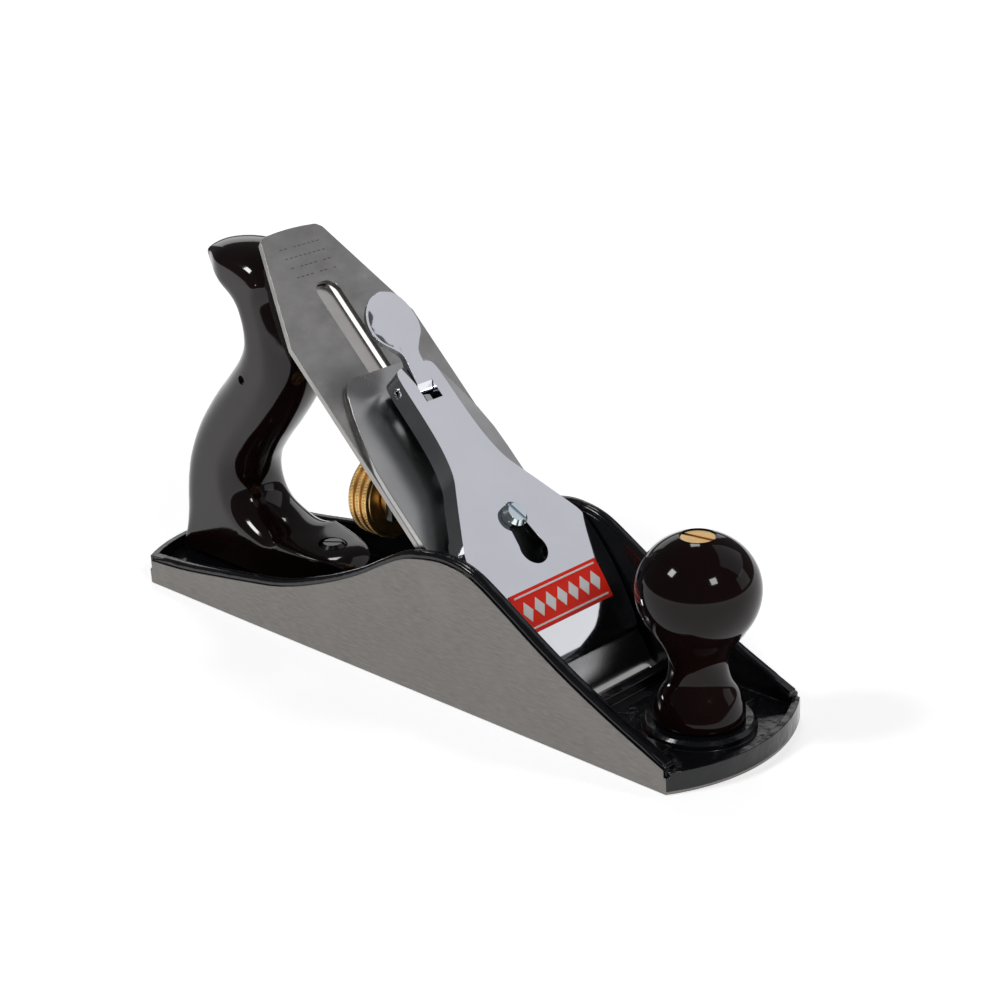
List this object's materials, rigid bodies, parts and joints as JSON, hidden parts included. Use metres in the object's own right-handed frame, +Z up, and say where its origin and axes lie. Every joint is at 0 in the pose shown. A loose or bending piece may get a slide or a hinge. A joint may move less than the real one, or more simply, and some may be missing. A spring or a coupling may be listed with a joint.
{
  "type": "hand plane",
  "caption": "Metal bench smoothing plane with adjustable frog, chipbreaker, lever cap, brass depth wheel, lateral lever, dark knob and rear tote.",
  "frame": {"origin": "centre of the sole footprint, on the ground sole face", "axes": "+X towards the toe and front knob, +Z up, +Y to the left cheek when pushing forward"},
  "size_m": [0.245, 0.06, 0.124],
  "materials": {
    "black_japanning": "glossy black enamel over cast iron, cheeks and sole ground bare",
    "ground_iron": "fine surface-ground steel",
    "plated_steel": "bright zinc plate",
    "chrome_plate": "mirror chrome plate",
    "blued_steel": "satin rolled steel",
    "spring_steel": "dark tempered steel",
    "brass": "turned and knurled brass",
    "red_enamel": "red baked enamel",
    "dark_plastic": "polished dark brown-black moulding",
    "dark_screw": "blackened steel"
  },
  "bodies": {
    "root": {"sole_body": "black_japanning", "frog_clamp_screws": "plated_steel", "frog_washers": "plated_steel", "tote": "dark_plastic", "tote_rod": "blued_steel", "tote_nut": "brass", "tote_toe_screw": "dark_screw", "knob": "dark_plastic", "knob_stud": "blued_steel", "knob_nut": "brass"},
    "frog": {"frog": "black_japanning", "frog_clip": "plated_steel", "frog_clip_screw": "plated_steel", "yoke_pin": "plated_steel", "depth_stud": "blued_steel", "lateral_pivot_pin": "plated_steel", "lever_cap_screw": "plated_steel"},
    "frog_adjust_screw": {"frog_adjust_screw": "plated_steel"},
    "depth_nut_hub": {"depth_nut_hub": "brass"},
    "depth_nut_wheel": {"depth_nut_wheel": "brass"},
    "yoke_lever": {"yoke_lever": "blued_steel"},
    "lateral_lever": {"lateral_lever": "plated_steel"},
    "lateral_roller": {"lateral_roller": "plated_steel"},
    "irons": {"plane_iron": "ground_iron", "cap_iron": "blued_steel", "cap_iron_screw": "blued_steel"},
    "lever_cap": {"lever_cap": "chrome_plate", "cap_badge": "red_enamel", "cam_pin": "plated_steel", "cap_spring": "spring_steel", "cap_spring_rivet": "plated_steel"},
    "cam_lever": {"cam_lever": "chrome_plate"}
  },
  "joints": [
    {"name": "frog_advance", "type": "slide", "parent": "root", "child": "frog", "axis": [1, 0, 0], "range_m": [-0.0012, 0.0012]},
    {"name": "frog_screw_turn", "type": "hinge", "parent": "frog", "child": "frog_adjust_screw", "pos_m": [0.0042, 0, 0.009], "axis": [1, 0, 0], "range_deg": [-545, 545]},
    {"name": "depth_nut_travel", "type": "slide", "parent": "frog", "child": "depth_nut_hub", "axis": [-1, 0, 0], "range_m": [-0.0017, 0.0017]},
    {"name": "depth_wheel_turn", "type": "hinge", "parent": "depth_nut_hub", "child": "depth_nut_wheel", "pos_m": [-0.0235, 0, 0.045], "axis": [-1, 0, 0], "range_deg": [-545, 545]},
    {"name": "yoke_rock", "type": "hinge", "parent": "frog", "child": "yoke_lever", "pos_m": [-0.01437, 0, 0.05657], "axis": [0, 1, 0], "range_deg": [-8.5, 8.5]},
    {"name": "lateral_swing", "type": "hinge", "parent": "frog", "child": "lateral_lever", "pos_m": [-0.02087, 0, 0.07693], "axis": [0.7071, 0, 0.7071], "range_deg": [-6, 6]},
    {"name": "iron_skew", "type": "hinge", "parent": "frog", "child": "lateral_roller", "pos_m": [0.04786, 0, 0.01414], "axis": [0.7071, 0, 0.7071], "range_deg": [-0.7, 0.7]},
    {"name": "iron_feed", "type": "slide", "parent": "lateral_roller", "child": "irons", "axis": [0.7071, 0, -0.7071], "range_m": [-0.00206, 0.00206]},
    {"name": "lever_cap_release", "type": "slide", "parent": "frog", "child": "lever_cap", "axis": [-0.7071, 0, 0.7071], "range_m": [0, 0.0115]},
    {"name": "cam_open", "type": "hinge", "parent": "lever_cap", "child": "cam_lever", "pos_m": [-0.00772, 0, 0.08301], "axis": [0, 1, 0], "range_deg": [0, 90]}
  ],
  "couplings": [
    {"joint": "frog_screw_turn", "follows": "frog_advance", "rad_per_m": 7854},
    {"joint": "depth_wheel_turn", "follows": "iron_feed", "rad_per_m": 4571.7},
    {"joint": "depth_nut_travel", "follows": "iron_feed", "ratio": 0.77127},
    {"joint": "yoke_rock", "follows": "iron_feed", "rad_per_m": 66.667},
    {"joint": "iron_skew", "follows": "lateral_swing", "ratio": -0.081395}
  ]
}
